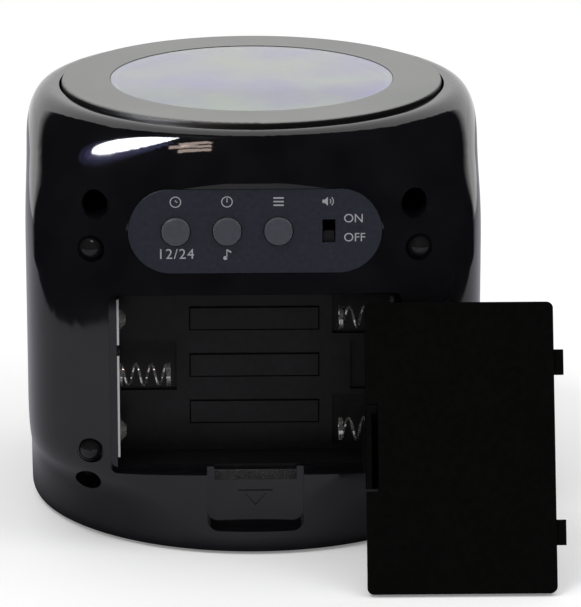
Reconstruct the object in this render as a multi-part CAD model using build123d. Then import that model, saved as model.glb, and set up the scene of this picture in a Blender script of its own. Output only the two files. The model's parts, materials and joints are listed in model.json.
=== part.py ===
"""Projection alarm clock, 86 mm rounded cube: every piece at its real size, in millimetres.

The origin is the middle of the clock's footprint on the table. +Z is up, the display faces -Y and the
battery side faces +Y. The battery door is off: it stands on its short end and leans on the back.
"""

from build123d import *
from math import cos, radians, sin, sqrt
import os

# ---------------------------------------------------------------- case
case_width = 86.0
case_depth = 84.0
case_height = 80.1
foot_height = 0.6
wall = 2.2
room_gap = 0.2
front_shell_depth = 22.0
shell_gap = 0.15
circle_handle = 0.552
side_handle = 1.02
top_blend = 24.0
base_blend = 24.0
top_rounding = 10.5
base_rounding = 2.4
edge_softness = 2.4
base_inset = 0.4
rim_width = 1.2

# ---------------------------------------------------------------- snooze button and projector
snooze_radius = 36.2
snooze_gap = 0.5
snooze_proud = 0.9
snooze_travel = 1.2
ring_thickness = 1.8
ring_edge = 0.5
ring_skirt = 5.0
ring_skirt_wall = 1.4
window_radius = 27.0
window_gap = 0.1
window_thickness = 1.5
window_crown = 0.5
window_ledge = 1.2
window_ledge_thickness = 1.4
deck_thickness = 1.6
deck_gap = 0.6
deck_drop = 8.8
snooze_switch_size = 6.0
snooze_plunger_radius = 1.2
snooze_plunger_height = 0.8
deck_slot_width = 8.0
lens_radius = 6.0
lens_thickness = 1.4
lens_crown = 1.0
barrel_wall = 1.2
barrel_length = 17.0
barrel_flange = 2.0
barrel_flange_thickness = 1.2
barrel_lip = 1.0
projector_headroom = 0.3
projector_slip = 0.05
slide_size = 12.0
slide_thickness = 1.2
lamp_board_size = 14.0
lamp_radius = 2.5
lamp_height = 3.2

# ---------------------------------------------------------------- control panel
panel_width = 46.4
panel_height = 15.8
panel_z = 62.4
panel_sunk = 0.9
panel_thickness = 1.4
panel_ledge = 1.3
panel_slip = 0.1
panel_bevel = 1.5
panel_lip = 0.35
panel_frame = 1.2
panel_seat = 1.6
button_pitch = 9.4
button_first_x = 14.5
button_radius = 2.55
button_slip = 0.2
button_proud = 0.7
button_flange = 0.75
button_flange_thickness = 0.8
button_edge = 0.35
button_stem_radius = 1.0
button_stem_length = 1.6
button_travel = 0.6
key_size = 6.0
key_height = 3.5
key_plunger_radius = 1.5
key_plunger_height = 0.4
board_thickness = 1.2
key_board_margin = 6.5
key_board_trim = 1.2
slot_x = -13.5
slot_width = 2.4
slot_height = 4.4
knob_width = 2.0
knob_length = 2.1
knob_sunk = 0.5
knob_foot = 3.4
switch_body_width = 4.6
switch_body_length = 9.0
switch_body_height = 3.8
switch_wall = 0.6
switch_floor = 1.2
switch_slip = 0.15
knob_foot_width = 2.7
rest_gap = 0.1

# ---------------------------------------------------------------- battery bay (three AAA cells in a row)
cell_length = 44.5
cell_diameter = 10.5
cell_pitch = 10.9
bay_z = 32.9
contact_room = 6.7
bay_clearance = 0.5
seat_side_ledge = 1.3
seat_rim_ledge = 0.9
seat_rise = 0.3
seat_depth = 3.6
ledge_thickness = 1.4
collar_wall = 1.3
tray_wall = 1.0
tray_gap = 0.1
cell_headroom = 0.3
pocket_depth = 0.8
spring_pocket_spare = 1.4
nub_pocket_spare = 6.4
pocket_rib = 0.6
label_length = 24.3
label_height = 4.5
label_pitch = 9.1
label_proud = 0.25
ear_thickness = 3.0
ear_drop = 0.8
ear_reach = 6.0
plate_thickness = 0.4
plate_width = 8.8
plate_slip = 0.05
plate_drop = 0.6
nub_radius = 2.2
nub_tip_radius = 1.0
nub_height = 1.2
spring_radius = 2.25
spring_wire = 0.5
spring_length = 9.6
spring_turns = 3
spring_end_coils = 2

# ---------------------------------------------------------------- finger recess under the door
recess_width = 18.0
recess_low = 4.6
recess_corner = 2.2
notch_width = 15.4

# ---------------------------------------------------------------- battery door
door_gap = 0.25
door_thickness = 1.8
door_corner = 1.2
door_rim = 1.0
door_rim_height = 1.0
door_rim_inset = 2.2
tab_width = 4.6
tab_reach = 1.8
tab_thickness = 1.2
tab_offset = 15.6
latch_width = 14.0
latch_depth = 5.0
latch_leaf = 0.9
latch_gap = 1.1
latch_catch = 0.7
latch_catch_trim = 3.0
latch_side_gap = 1.0
door_lean = 23.7
door_stand_x = -37.2
door_stand_gap = 0.4
door_foot_gap = 0.02

# ---------------------------------------------------------------- screws
well_radius = 2.4
well_wall = 0.9
well_depth = 32.0
well_floor = 2.0
well_upper = (29.2, 66.9)
well_lower = (31.2, 13.2)
screw_head_radius = 2.1
screw_head_height = 1.5
screw_radius = 1.2
screw_length = 12.0
screw_slip = 0.05
cross_depth = 0.8
cross_length = 3.0
cross_width = 0.6
pilot_radius = 1.25
front_post_radius = 3.2
dome_radius = 2.2
dome_height = 1.5
dome_seat_radius = 2.5
dome_seat_depth = 1.3
dome_length = 6.0
dome_pilot_depth = 12.0
dome_upper = (30.0, 59.1)
dome_lower = (30.6, 20.2)
dome_post_radius = 2.8

# ---------------------------------------------------------------- display
window_z = 40.0
window_side_margin = 3.0
window_edge_margin = 4.0
window_corner = 9.0
window_sunk = 1.1
window_depth = 2.0
window_border = 2.0
window_frame = 1.4
glass_width = 54.0
glass_height = 42.0
glass_thickness = 2.8
glass_slip = 0.2
glass_border = 1.5
frame_face = 0.8
frame_side = 1.5
frame_shelf = 1.7
backlight_thickness = 3.5
backlight_inset = 0.5
strip_thickness = 2.4
strip_gap = 0.2
strip_inset = 3.0
stack_gap = 0.05
board_side_margin = 7.0
board_edge_margin = 7.0
main_board_thickness = 1.6
board_gap = 0.3
board_post_radius = 2.4
board_post_gap = 0.5
board_screw_z = 12.0
board_screw_radius = 0.9
board_screw_head_radius = 2.0
board_screw_head = 1.2
board_screw_length = 5.0
post_clearance = 0.4
chip_x = 10.0
chip_rise = 4.0
chip_radius = 6.0
chip_height = 1.7

# ---------------------------------------------------------------- speaker and feet
speaker_radius = 14.0
speaker_y = 4.0
speaker_height = 6.0
speaker_flange = 1.6
speaker_gap = 0.05
cone_radius = 11.5
cone_throat = 4.0
cone_depth = 2.6
cone_wall = 0.5
cup_wall = 1.0
magnet_radius = 8.4
magnet_thickness = 3.0
sound_slot_width = 1.4
sound_slot_pitch = 3.2
foot_radius = 3.6
foot_slip = 0.1
foot_spread = 24.0
foot_recess = 0.7

# ---------------------------------------------------------------- places that follow from the sizes
back_y = case_depth / 2
case_low = foot_height
case_top = case_low + case_height
top_radius = snooze_radius + snooze_gap + rim_width
base_radius = min(case_width, case_depth) / 2 - base_inset
parting_y = front_shell_depth - back_y
snooze_top = case_top + snooze_proud
deck_top = snooze_top - deck_drop
through = 1.0


def block(low, high):
    """A box from its lowest to its highest corner."""
    size = [b - a for a, b in zip(low, high)]
    middle = [(a + b) / 2 for a, b in zip(low, high)]
    return Pos(*middle) * Box(*size)


def facing_back(y):
    """A sketch plane square to Y, with sketch x along -X and sketch y along +Z."""
    return Plane(origin=(0, y, 0), x_dir=(-1, 0, 0), z_dir=(0, 1, 0))


def prism(sketch, y_from, y_to):
    """A sketch drawn on the back, pulled along Y."""
    return extrude(facing_back(y_from) * sketch, amount=y_to - y_from)


def rod(x, z, radius, y_from, y_to):
    """A round bar along Y."""
    return prism(Pos(-x, z) * Circle(radius), y_from, y_to)


def disc(radius, z_from, z_to, x=0.0, y=0.0):
    """A round plate along Z."""
    return Pos(x, y, (z_from + z_to) / 2) * Cylinder(radius, z_to - z_from)


def four_ways(upper, lower):
    """The four places of a pattern that is the same on the left and the right."""
    return [(side * x, z) for x, z in (upper, lower) for side in (1, -1)]


# ---------------------------------------------------------------- case form


def smooth_step(t):
    """From 0 to 1 with no kink at either end."""
    t = min(max(t, 0.0), 1.0)
    return t**3 * (t * (6 * t - 15) + 10)


def rounding_share(t):
    """How far an edge has rounded in: none at 0, all of it at 1, where it lies flat."""
    t = min(max(t, 0.0), 1.0)
    return 1 - (1 - t**edge_softness) ** (1 / edge_softness)


def level_outline(z, half_x, half_y, handle):
    """One level of the case in four Bezier quarters: a handle of 0.55 is round and 1 is a soft square."""
    ends = ((half_x, 0), (0, half_y), (-half_x, 0), (0, -half_y))
    quarters = []
    for (ax, ay), (bx, by) in zip(ends, ends[1:] + ends[:1]):
        leave = (ax + handle * bx, ay + handle * by)
        arrive = (bx + handle * ax, by + handle * ay)
        quarters.append(Edge.make_bezier(*[(x, y, z) for x, y in ((ax, ay), leave, arrive, (bx, by))]))
    return Wire(quarters)


def case_form(inset, top_angles, base_angles, steps):
    """The case's rounded body, or with an inset the hollow inside it, lofted through its levels."""
    low, high = case_low + inset, case_top - inset
    halves = case_width / 2 - inset, case_depth / 2 - inset
    side_low, side_high = low + base_rounding, high - top_rounding
    levels = [low + base_rounding * (1 - cos(radians(a))) for a in base_angles]
    levels += [side_low + (side_high - side_low) * i / steps for i in range(1, steps)]
    levels += [high - top_rounding * (1 - cos(radians(a))) for a in reversed(top_angles)]
    outlines = []
    for z in levels:
        base_share = rounding_share((side_low - z) / base_rounding)
        top_share = rounding_share((z - side_high) / top_rounding)
        reach = [
            half - (half + inset - base_radius) * base_share - (half + inset - top_radius) * top_share
            for half in halves
        ]
        square = smooth_step((z - low) / base_blend) * smooth_step((high - z) / top_blend)
        handle = circle_handle + (side_handle - circle_handle) * square
        outlines.append(level_outline(z, *reach, handle))
    return Solid.make_loft(outlines)


def inner_form(inset):
    return case_form(inset, top_angles=(0, 20, 50, 90), base_angles=(0, 45, 90), steps=4)


case_outer = case_form(0.0, top_angles=(0, 8, 20, 38, 60, 90), base_angles=(0, 20, 50, 90), steps=8)
case_inner = inner_form(wall)
case_room = inner_form(wall + room_gap)


# ---------------------------------------------------------------- shared places

panel_face_y = back_y - panel_sunk
panel_back_y = panel_face_y - panel_thickness
button_top_y = panel_face_y + button_proud
button_flange_y = panel_back_y - button_slip
button_flange_end_y = button_flange_y - button_flange_thickness
button_end_y = button_flange_end_y - button_stem_length
plunger_top_y = button_end_y - button_travel - rest_gap
key_board_y = plunger_top_y - key_plunger_height - key_height
button_places = [button_first_x - button_pitch * i for i in range(3)]

ledge_y = back_y - seat_depth
tray_top_y = ledge_y - ledge_thickness
bay_length = cell_length + contact_room
bay_height = 3 * cell_pitch + bay_clearance
seat_length = bay_length + 2 * seat_side_ledge
seat_height = bay_height + 2 * seat_rim_ledge
seat_z = bay_z + seat_rise
cell_y = back_y - door_thickness - door_rim_height - cell_headroom - cell_diameter / 2
tray_floor_y = cell_y - cell_diameter / 2 - label_proud - rest_gap
row_z = [bay_z + cell_pitch * (1 - i) for i in range(3)]
bay_half = bay_length / 2

wells = four_ways(well_upper, well_lower)
domes = four_ways(dome_upper, dome_lower)
well_floor_y = back_y - well_depth
post_radius = well_radius + well_wall
feet_places = [(sx * foot_spread, sy * foot_spread) for sx in (1, -1) for sy in (1, -1)]

window_width = glass_width + 2 * window_side_margin
window_height = glass_height + 2 * window_edge_margin
window_seat_y = window_sunk + window_depth - back_y
frame_front_y = window_seat_y + window_frame + stack_gap
glass_y = frame_front_y + frame_face
backlight_y = glass_y + glass_thickness + stack_gap
main_board_y = backlight_y + backlight_thickness + board_gap
board_top_y = main_board_y + main_board_thickness
board_screw_x = glass_width / 2 + frame_side + board_post_radius + board_post_gap
board_screw_places = [(sx * board_screw_x, window_z + sz * board_screw_z) for sx in (1, -1) for sz in (1, -1)]

speaker_z = case_low + wall + speaker_gap
projector_top = snooze_top - window_thickness - window_ledge_thickness - snooze_travel - projector_headroom
projector_low = projector_top - barrel_length


def surface_y(x, z):
    """How far back the case reaches at one place of its back face."""
    probe = Edge.make_line((x, 0, z), (x, case_depth, z))
    inside = probe & case_outer
    return inside.bounding_box().max.Y


# ---------------------------------------------------------------- shells


def case_half(rear):
    shell = case_outer - case_inner
    far, over = case_width + case_depth, case_top + through
    if rear:
        keep = block((-far, parting_y + shell_gap / 2, -through), (far, far, over))
    else:
        keep = block((-far, -far, -through), (far, parting_y - shell_gap / 2, over))
    return (shell & keep) - disc(snooze_radius + snooze_gap, case_top - top_rounding, over)


def inside_only(piece):
    """Keeps a rib or post within the case's outer form."""
    return piece & case_outer


def seat_outline(grow=0.0):
    size = seat_length + 2 * grow, seat_height + 2 * grow
    return Pos(0, seat_z) * RectangleRounded(*size, door_corner + door_gap + grow)


def mouth_outline(grow=0.0):
    return Pos(0, bay_z) * Rectangle(bay_length + 2 * grow, bay_height + 2 * grow)


def panel_outline(grow=0.0):
    return Pos(0, panel_z) * SlotOverall(panel_width + 2 * grow, panel_height + 2 * grow)


def foot_sockets(side):
    """The shallow round seats for the feet under one half: side is 1 at the back and -1 in front."""
    top = case_low + foot_recess
    return [disc(foot_radius, case_low - through, top, x, y) for x, y in feet_places if y * side > 0]


def rear_shell():
    shell = case_half(rear=True)
    added = [
        prism(panel_outline(panel_slip + panel_frame), panel_back_y - panel_seat, back_y),
        prism(seat_outline(collar_wall), tray_top_y, back_y),
        prism(recess_outline(collar_wall), tray_top_y, back_y),
    ]
    added += [rod(x, z, post_radius, well_floor_y, back_y) for x, z in wells]
    added += [rod(x, z, dome_post_radius, back_y - wall - dome_seat_depth, back_y) for x, z in domes]
    for piece in added:
        shell += inside_only(piece)
    cuts = [panel_pocket(), seat_pocket(), finger_recess(), latch_notch(), *sound_slots(), *foot_sockets(1)]
    cuts += well_bores() + dome_bores()
    for cut in cuts:
        shell -= cut
    return shell


def panel_pocket():
    """The panel's seat, the way through behind it, and the rounded slope round its mouth."""
    pocket = prism(panel_outline(panel_slip), panel_back_y, back_y + through)
    pocket += prism(panel_outline(-panel_ledge), panel_back_y - panel_seat - through, back_y)
    slope = [
        (panel_slip, panel_face_y),
        (panel_slip + panel_bevel - panel_lip, back_y - panel_lip / 2),
        (panel_slip + panel_bevel, back_y + panel_lip / 2),
    ]
    return pocket + loft([facing_back(y) * panel_outline(grow) for grow, y in slope], ruled=True)


def seat_pocket():
    """The door's seat, and the mouth of the battery bay in its floor."""
    seat = prism(seat_outline(), ledge_y, back_y + through)
    return seat + prism(mouth_outline(), tray_top_y - through, ledge_y + through)


def recess_outline(grow=0.0):
    """The finger recess: square where it meets the door's seat, round at its lower corners."""
    high = seat_z - seat_height / 2
    width, height = recess_width + 2 * grow, high - recess_low + grow
    corner = recess_corner + grow
    pocket = Pos(0, high - height / 2) * RectangleRounded(width, height, corner)
    return pocket + Pos(0, high - corner / 2) * Rectangle(width, corner)


def finger_recess():
    """The thumb's way to the door's latch, as deep as the door's seat and open to it."""
    recess = prism(recess_outline(), ledge_y, back_y + through)
    half, high = recess_width / 2, seat_z - seat_height / 2
    return recess + block((-half, ledge_y, high - rest_gap), (half, back_y, high + rest_gap))


def latch_notch():
    """The gap in the ledge, over the recess, that the door's latch springs into."""
    half = notch_width / 2
    low, high = seat_z - seat_height / 2, bay_z - bay_height / 2
    return block((-half, tray_top_y - through, low), (half, ledge_y + through, high + through))


def well_bores():
    floor = well_floor_y + well_floor
    bores = [rod(x, z, well_radius, floor, back_y + through) for x, z in wells]
    return bores + [rod(x, z, pilot_radius, well_floor_y - through, floor + through) for x, z in wells]


def dome_bores():
    bores = []
    for x, z in domes:
        bores.append(rod(x, z, dome_seat_radius, surface_y(x, z) - dome_seat_depth, back_y + through))
        bores.append(rod(x, z, pilot_radius, back_y - dome_pilot_depth, back_y))
    return bores


def sound_slots():
    slots = []
    count = int(cone_radius / sound_slot_pitch)
    for x in (i * sound_slot_pitch for i in range(-count, count + 1)):
        length = 2 * sqrt(cone_radius**2 - x**2)
        if length > 2 * sound_slot_width:
            slot = Pos(x, speaker_y) * SlotOverall(length, sound_slot_width, rotation=90)
            slots.append(extrude(Plane.XY.offset(case_low - through) * slot, wall + 2 * through))
    return slots


def front_shell():
    shell = case_half(rear=False)
    frame = Pos(0, window_z) * RectangleRounded(
        window_width + 2 * wall, window_height + 2 * wall, window_corner + wall
    )
    shell += inside_only(prism(frame, -back_y, window_seat_y + window_frame))
    posts = [rod(x, z, front_post_radius, -back_y, well_floor_y - shell_gap) for x, z in wells]
    posts += [rod(x, z, board_post_radius, -back_y, main_board_y - stack_gap) for x, z in board_screw_places]
    for post in posts:
        shell += inside_only(post)
    cuts = [
        prism(window_outline(window_gap), -back_y - through, window_seat_y),
        prism(window_outline(-window_border), -back_y - through, window_seat_y + window_frame + through),
        *foot_sockets(-1),
    ]
    thread_end = well_floor_y - screw_length
    cuts += [rod(x, z, screw_radius, thread_end, well_floor_y) for x, z in wells]
    thread_end = board_top_y - board_screw_length - rest_gap
    bore = board_screw_radius + screw_slip
    cuts += [rod(x, z, bore, thread_end, board_top_y) for x, z in board_screw_places]
    for cut in cuts:
        shell -= cut
    return shell


def window_outline(grow=0.0):
    size = window_width + 2 * grow, window_height + 2 * grow
    return Pos(0, window_z) * RectangleRounded(*size, window_corner + grow)


# ---------------------------------------------------------------- display stack


def behind_window(width, height, y_from, y_to):
    return prism(Pos(0, window_z) * Rectangle(width, height), y_from, y_to)


def clear_of_posts(piece):
    """Trims a frame or board to the hollow of the case and round the posts of its screws."""
    piece &= case_room
    for x, z in wells:
        piece -= rod(x, z, front_post_radius + post_clearance, -back_y, back_y)
    return piece


def front_window():
    return prism(window_outline(), window_sunk - back_y, window_seat_y - stack_gap)


def display_frame():
    end = main_board_y - stack_gap
    frame = behind_window(glass_width + 2 * frame_side, glass_height + 2 * frame_shelf, frame_front_y, end)
    frame -= behind_window(
        glass_width + 2 * glass_slip, glass_height + 2 * glass_slip, glass_y - stack_gap, end + through
    )
    view = glass_width - 2 * glass_border, glass_height - 2 * glass_border
    return clear_of_posts(frame - behind_window(*view, frame_front_y - through, glass_y))


def display_glass():
    return behind_window(glass_width, glass_height, glass_y, glass_y + glass_thickness)


def display_backlight():
    height = glass_height - 2 * (strip_thickness + 2 * strip_gap)
    back = backlight_y + backlight_thickness
    return behind_window(glass_width - 2 * backlight_inset, height, backlight_y, back)


def contact_strips():
    strips = []
    for side in (1, -1):
        z = side * (glass_height / 2 - strip_thickness / 2 - strip_gap)
        strip = behind_window(
            glass_width - 2 * strip_inset, strip_thickness, backlight_y, main_board_y - stack_gap
        )
        strips.append(Pos(0, 0, z) * strip)
    return strips


def main_board():
    size = glass_width + 2 * board_side_margin, glass_height + 2 * board_edge_margin
    board = clear_of_posts(behind_window(*size, main_board_y, board_top_y))
    for x, z in board_screw_places:
        board -= rod(x, z, board_screw_radius + rest_gap, main_board_y - through, board_top_y + through)
    return board


def board_screws():
    screws = []
    for x, z in board_screw_places:
        head = rod(x, z, board_screw_head_radius, board_top_y, board_top_y + board_screw_head)
        screws.append(head + rod(x, z, board_screw_radius, board_top_y - board_screw_length, board_top_y))
    return screws


def round_crown(x, y, z, radius, height):
    """A low dome: the cap of a ball, with its flat side at z."""
    ball = (radius**2 + height**2) / (2 * height)
    slab = disc(radius + through, z, z + height + through, x, y)
    return (Pos(x, y, z + height - ball) * Sphere(ball)) & slab


def crown_facing_back(x, z, y, radius, height):
    """The same dome with its flat side square to Y."""
    return Pos(x, y, z) * Rot(-90, 0, 0) * round_crown(0, 0, 0, radius, height)


def main_chip():
    return crown_facing_back(chip_x, window_z + chip_rise, board_top_y, chip_radius, chip_height)


# ---------------------------------------------------------------- control panel


def control_panel():
    plate = prism(panel_outline(), panel_back_y, panel_face_y)
    for x in button_places:
        plate -= rod(x, panel_z, button_radius + button_slip, panel_back_y - through, back_y)
    slot = Pos(-slot_x, panel_z) * Rectangle(slot_width, slot_height)
    return plate - prism(slot, panel_back_y - through, back_y)


def push_button(x):
    cap = rod(x, panel_z, button_radius, button_flange_y, button_top_y)
    cap = fillet(cap.edges().filter_by(GeomType.CIRCLE).sort_by(Axis.Y)[-1], button_edge)
    flange = rod(x, panel_z, button_radius + button_flange, button_flange_end_y, button_flange_y)
    stem = rod(x, panel_z, button_stem_radius, button_end_y, button_flange_end_y)
    return cap + flange + stem


def key_board():
    size = 2 * (button_first_x + key_board_margin), panel_height - 2 * key_board_trim
    return prism(Pos(0, panel_z) * Rectangle(*size), key_board_y - board_thickness, key_board_y)


def key_switches():
    keys = []
    for x in button_places:
        square = Pos(-x, panel_z) * Rectangle(key_size, key_size)
        body = prism(square, key_board_y, key_board_y + key_height)
        keys.append(body + rod(x, panel_z, key_plunger_radius, key_board_y + key_height, plunger_top_y))
    return keys


def in_slot(width, length, y_from, y_to, z=panel_z):
    """A block in line with the switch's slot."""
    return prism(Pos(-slot_x, z) * Rectangle(width, length), y_from, y_to)


def slide_switch():
    """The fixed body of the slide switch, hollow for the foot of its knob."""
    high = key_board_y + switch_body_height
    body = in_slot(switch_body_width, switch_body_length, key_board_y, high)
    travel = slot_height - knob_length
    body -= in_slot(
        knob_foot_width + 2 * switch_slip,
        knob_foot + travel + 2 * switch_slip,
        key_board_y + switch_floor,
        high - switch_wall,
    )
    return body - in_slot(
        knob_width + 2 * switch_slip, slot_height + 2 * switch_slip, high - 2 * switch_wall, high + through
    )


def slide_knob():
    high = key_board_y + switch_body_height
    middle = panel_z - (slot_height - knob_length - rest_gap) / 2
    foot_top = high - switch_wall - switch_slip
    foot = in_slot(knob_foot_width, knob_foot, key_board_y + switch_floor + switch_slip, foot_top, middle)
    return foot + in_slot(knob_width, knob_length, foot_top, panel_face_y - knob_sunk, middle)


# ---------------------------------------------------------------- battery bay


def battery_tray():
    """The bay for three cells, with pockets in its floor at the contacts and ears for the domed screws."""
    top = tray_top_y - tray_gap
    low = tray_floor_y - pocket_depth - tray_wall
    tray = prism(mouth_outline(tray_wall), low, top) - prism(mouth_outline(), tray_floor_y, top + through)
    for row, side, length in contact_pockets():
        middle = side * (bay_half - length / 2)
        pocket = Pos(-middle, row_z[row]) * Rectangle(length, cell_pitch - 2 * pocket_rib)
        tray -= prism(pocket, low + tray_wall, tray_floor_y + through)
    for i in (1, 0, -1):
        pad = Pos(0, bay_z + i * label_pitch) * Rectangle(label_length, label_height)
        tray += prism(pad, tray_floor_y - pocket_depth / 2, tray_floor_y + label_proud)
    tray += screw_ears(top - ear_drop)
    for x, z in domes:
        tray -= rod(x, z, screw_radius, top - dome_pilot_depth, top + through)
    return tray & case_room


def screw_ears(top):
    """Ears that carry the domed screws: two beside the bay and two above it, all fused to the bay's walls."""
    low = top - ear_thickness
    side_wall = bay_half + tray_wall / 2
    bay_high = bay_z + bay_height / 2
    x, z = dome_lower
    r = dome_post_radius
    ears = block((side_wall, low - ear_thickness, z - r), (x + r, top, z + r))
    x, z = dome_upper
    ears += block((x - r, low, bay_high - ear_reach), (x + r, top, z + r))
    ears += block((side_wall, low, bay_high - ear_reach), (x, top, bay_high + tray_wall))
    return ears + mirror(ears, Plane.YZ)


def contact_pockets():
    """Row, side and length of each place where the floor drops to clear a spring or a nub."""
    at_spring = spring_length + spring_pocket_spare
    at_nub = nub_height + nub_pocket_spare
    return [(0, -1, at_spring), (1, 1, at_spring), (2, -1, at_spring), (1, -1, at_nub)]


def contact_plate(side, rows, nub_row=None):
    """A sheet contact against one end wall, over one row or two, with a pressed nub for a cell's tip."""
    height = (len(rows) - 1) * cell_pitch + plate_width
    middle_x = side * (bay_half - plate_slip - plate_thickness / 2)
    middle_z = (row_z[rows[0]] + row_z[rows[-1]]) / 2
    sheet = Pos(-middle_x, middle_z) * Rectangle(plate_thickness, height)
    plate = prism(sheet, tray_floor_y + rest_gap, tray_top_y - plate_drop)
    if nub_row is None:
        return plate
    middle_x -= side * (plate_thickness + nub_height) / 2
    nub = Cone(nub_radius, nub_tip_radius, nub_height)
    return plate + Pos(middle_x, cell_y, row_z[nub_row]) * Rot(0, -90 * side, 0) * nub


def contact_spring(side, row):
    """An open coil that stands out of its plate, with closed coils where the cell pushes."""
    mean, wire = spring_radius - spring_wire / 2, spring_wire / 2
    closed_length = (spring_end_coils - 1) * spring_wire
    pitch = (spring_length - spring_wire - closed_length) / spring_turns
    path = Helix(pitch, pitch * spring_turns, mean)
    coil = sweep(Plane(origin=path @ 0, z_dir=path % 0) * RegularPolygon(wire, 6), path=path, is_frenet=True)
    ring = revolve(Plane.XZ * Pos(mean, 0) * RegularPolygon(wire, 6), Axis.Z)
    coil += ring
    for i in range(spring_end_coils):
        coil += Pos(0, 0, pitch * spring_turns + i * (spring_wire - 2 * plate_slip)) * ring
    face = bay_half - plate_slip - plate_thickness - wire - plate_slip
    return Pos(side * face, cell_y, row_z[row]) * Rot(0, -90 * side, 0) * coil


# ---------------------------------------------------------------- battery door


def battery_door():
    """The door flat in its own frame: x along its length, y up its height, z out of the back face."""
    length, height = seat_length - 2 * door_gap, seat_height - 2 * door_gap
    door = extrude(RectangleRounded(length, height, door_corner), -door_thickness)
    rim_outline = RectangleRounded(length - 2 * door_rim_inset, height - 2 * door_rim_inset, door_corner)
    rim = rim_outline - offset(rim_outline, -door_rim)
    door += extrude(Plane.XY.offset(-door_thickness) * rim, -door_rim_height)
    for side in (1, -1):
        tab = Pos(side * tab_offset, height / 2, -door_thickness + tab_thickness / 2)
        door += tab * Box(tab_width, 2 * tab_reach, tab_thickness)
    gap = 3 * latch_gap
    notch = Pos(0, latch_gap / 2 - height / 2) * Rectangle(latch_width + 2 * latch_side_gap, gap)
    return door - extrude(notch, gap, both=True) + door_latch(height)


def door_latch(height):
    """A hairpin leaf: down from the door, round, and up to a catch behind the case's edge."""
    inner = 2 * latch_gap + latch_leaf - height / 2
    outer = latch_leaf + rest_gap - height / 2
    bottom = -door_thickness - latch_depth
    hairpin = [
        (inner, -door_thickness / 2),
        (inner, bottom),
        (outer - latch_leaf, bottom),
        (outer - latch_leaf, -rest_gap),
        (outer, -rest_gap),
        (outer, bottom + latch_leaf),
        (inner - latch_leaf, bottom + latch_leaf),
        (inner - latch_leaf, -door_thickness / 2),
    ]
    section = make_face(Polyline(*[(y, z) for y, z in hairpin], close=True))
    leaf = extrude(Plane.YZ * section, latch_width / 2, both=True)
    catch_top = outer - latch_leaf
    catch = make_face(Polyline(
        (catch_top + rest_gap, -latch_leaf), (catch_top - latch_catch, -door_thickness),
        (catch_top + rest_gap, -door_thickness - latch_leaf), close=True,
    ))
    return leaf + extrude(Plane.YZ * catch, latch_width / 2 - latch_catch_trim, both=True)


def door_stand():
    """The set-down place: on its short end, leaning with its top end on the case's back."""
    length = seat_length - 2 * door_gap
    lean = radians(door_lean)
    top_edge_y = back_y + door_stand_gap
    foot_y = top_edge_y + length * sin(lean) + door_thickness * cos(lean)
    middle_y = foot_y - length / 2 * sin(lean)
    middle_z = length / 2 * cos(lean) + door_thickness * sin(lean) + door_foot_gap
    # Its length runs down the lean, its tabs point to -X and its outer face to +Y and up.
    frame = Plane(
        origin=(door_stand_x, middle_y, middle_z),
        x_dir=(0, sin(lean), -cos(lean)),
        z_dir=(0, cos(lean), sin(lean)),
    )
    return Location(frame)


# ---------------------------------------------------------------- screws, feet, speaker


def case_screws():
    screws = []
    seat = well_floor_y + well_floor
    top = seat + screw_head_height
    for x, z in wells:
        head = rod(x, z, screw_head_radius, seat, top)
        for width, height in ((cross_length, cross_width), (cross_width, cross_length)):
            head -= prism(Pos(-x, z) * Rectangle(width, height), top - cross_depth, top + through)
        screws.append(head + rod(x, z, screw_radius - screw_slip, seat + through - screw_length, seat))
    return screws


def dome_screws():
    screws = []
    for x, z in domes:
        seat = surface_y(x, z) - dome_seat_depth
        head = crown_facing_back(x, z, seat, dome_radius, dome_height)
        screws.append(head + rod(x, z, screw_radius - screw_slip, seat - dome_length, seat))
    return screws


def rubber_feet():
    return [disc(foot_radius - foot_slip, 0, case_low + foot_recess, x, y) for x, y in feet_places]


def speaker_frame():
    flange_top = speaker_z + speaker_flange
    frame = disc(speaker_radius, speaker_z, flange_top, 0, speaker_y)
    frame += disc(cone_radius + cup_wall, flange_top, speaker_z + speaker_height, 0, speaker_y)
    return frame - disc(cone_radius, speaker_z - through, speaker_z + speaker_height - cup_wall, 0, speaker_y)


def speaker_magnet():
    low = speaker_z + speaker_height + speaker_gap
    return disc(magnet_radius, low, low + magnet_thickness, 0, speaker_y)


def speaker_cone():
    radius = cone_radius - speaker_gap
    cone = Pos(0, speaker_y, speaker_z + cone_depth / 2 + cone_wall) * Cone(radius, cone_throat, cone_depth)
    return cone - Pos(0, 0, -cone_wall) * cone


# ---------------------------------------------------------------- snooze button and projector


def snooze_ring():
    plate = disc(snooze_radius, snooze_top - ring_thickness, snooze_top)
    plate = fillet(plate.edges().filter_by(GeomType.CIRCLE).sort_by(Axis.Z)[-1], ring_edge)
    skirt = disc(snooze_radius, snooze_top - ring_skirt, snooze_top - ring_thickness)
    skirt -= disc(snooze_radius - ring_skirt_wall, snooze_top - ring_skirt - through, snooze_top)
    seat_low = snooze_top - window_thickness - window_ledge_thickness
    ring = plate + skirt + disc(window_radius + ring_skirt_wall, seat_low, snooze_top - ring_thickness)
    ring -= disc(window_radius, snooze_top - window_thickness, snooze_top + through)
    return ring - disc(window_radius - window_ledge, seat_low - through, snooze_top + through)


def snooze_window():
    radius = window_radius - window_gap
    edge_top = snooze_top - window_gap
    flat = disc(radius, snooze_top - window_thickness + stack_gap, edge_top)
    return flat + round_crown(0, 0, edge_top, radius, window_crown)


def top_deck():
    top = deck_top + through
    deck = disc(snooze_radius - ring_skirt_wall - deck_gap, deck_top - deck_thickness, deck_top)
    deck -= disc(lens_radius + barrel_wall + projector_slip, deck_top - deck_thickness - through, top)
    slot_middle = (snooze_radius + lens_radius) / 2 - deck_slot_width / 2
    slot = Pos(-slot_middle, 0, deck_top) * Box(deck_slot_width, deck_slot_width, 3 * deck_thickness)
    return deck - slot


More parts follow.
